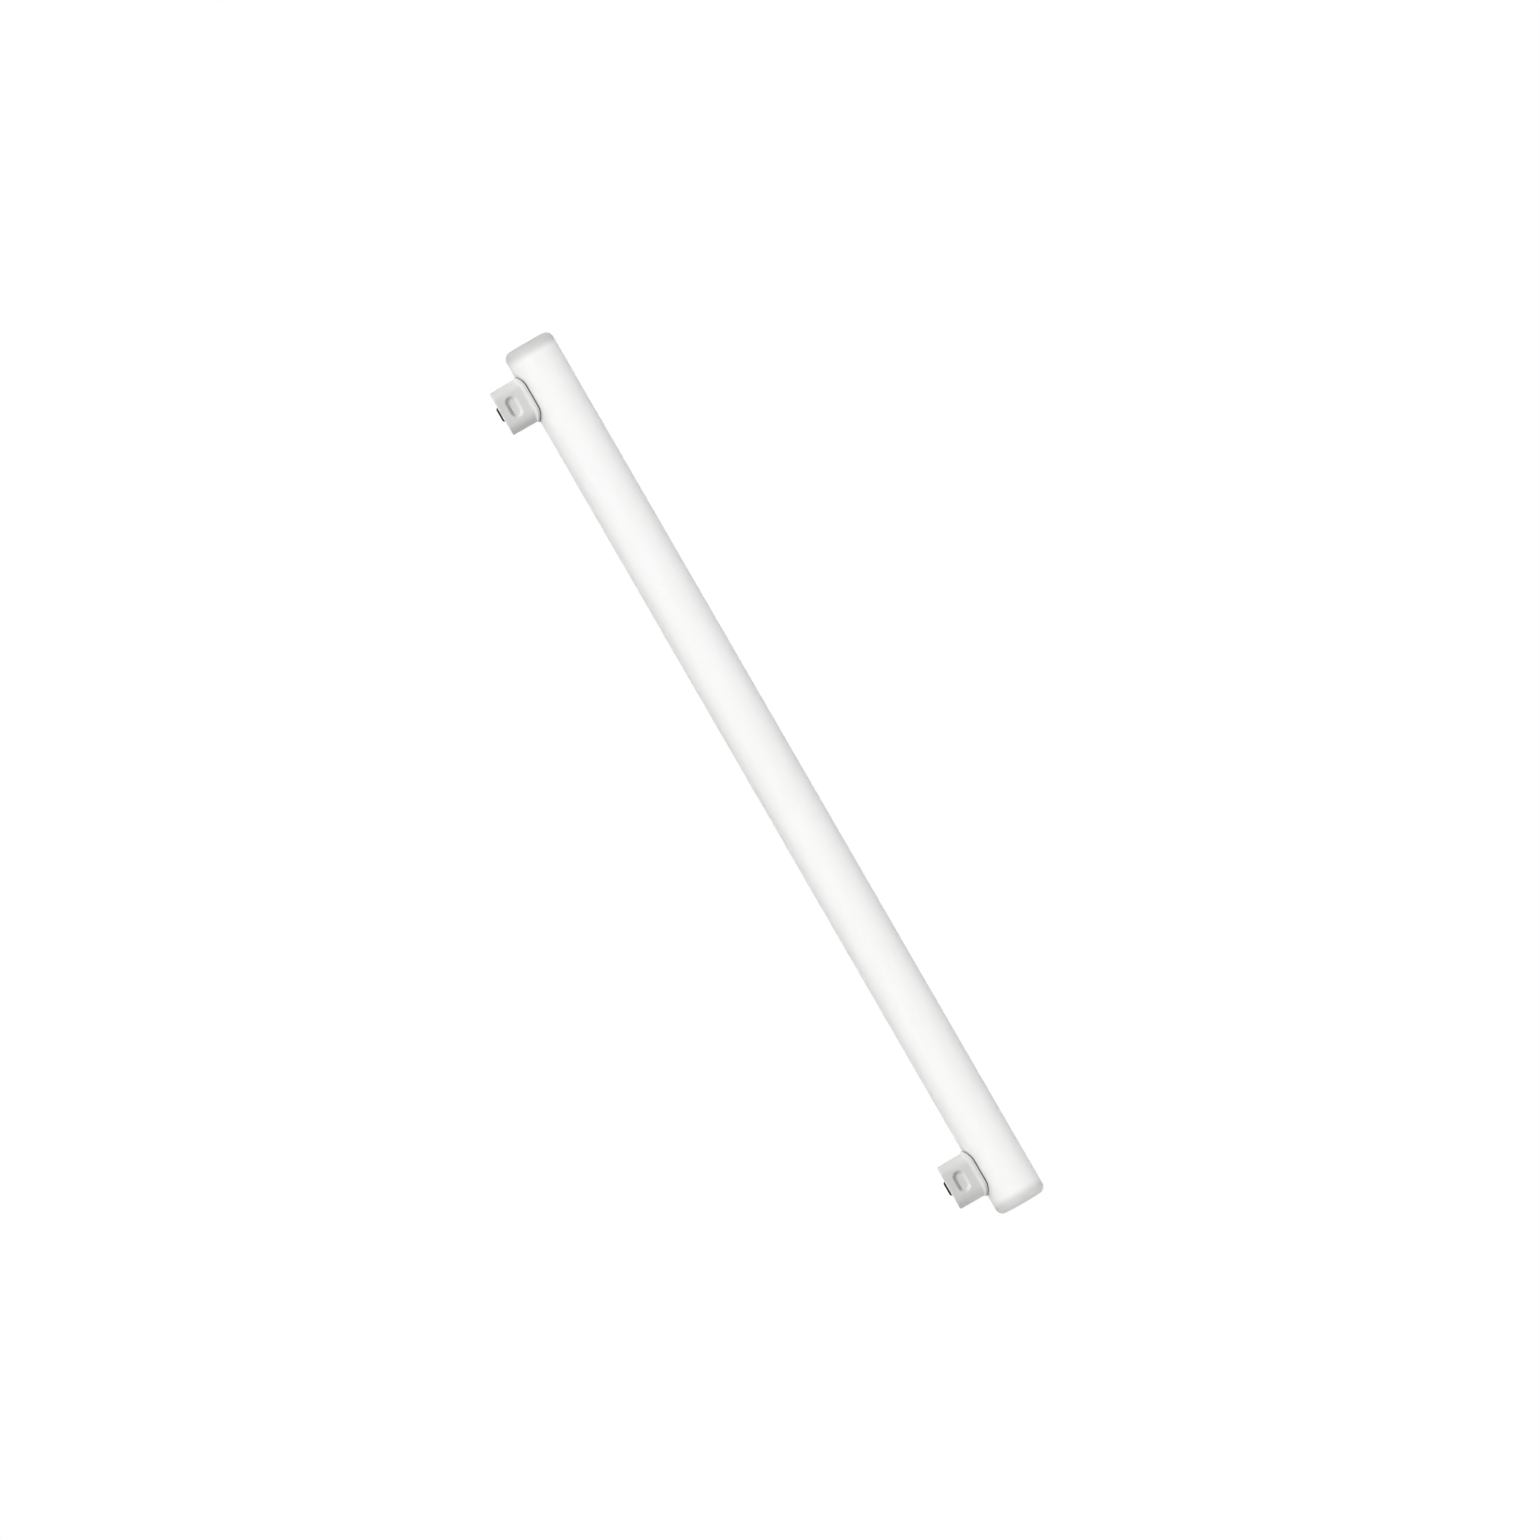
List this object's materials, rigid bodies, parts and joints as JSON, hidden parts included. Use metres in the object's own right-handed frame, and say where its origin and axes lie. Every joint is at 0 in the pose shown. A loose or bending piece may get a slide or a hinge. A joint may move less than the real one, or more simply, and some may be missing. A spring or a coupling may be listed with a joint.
{
  "type": "linear led tube lamp",
  "caption": "Straight opal tube lamp with closed round-cornered ends and grey moulded side bases, each with a saddle collar, spring detents and a flat underside contact.",
  "frame": {"origin": "midway between the two contacts, on the plane of the contact faces", "axes": "+X along the tube, +Z from the contacts up to the tube, Y across the tube"},
  "size_m": [0.5, 0.027, 0.0434],
  "materials": {
    "opal_glass": "opal white, satin",
    "base_plastic": "light grey, moulded, fine matte grain",
    "seal_adhesive": "dark grey, set adhesive",
    "contact_metal": "dark plated strip, fine rolling lines"
  },
  "bodies": {
    "root": {"tube": "opal_glass", "base_left": "base_plastic", "base_right": "base_plastic", "seal_left": "seal_adhesive", "seal_right": "seal_adhesive", "contact_left": "contact_metal", "contact_right": "contact_metal"}
  },
  "joints": []
}
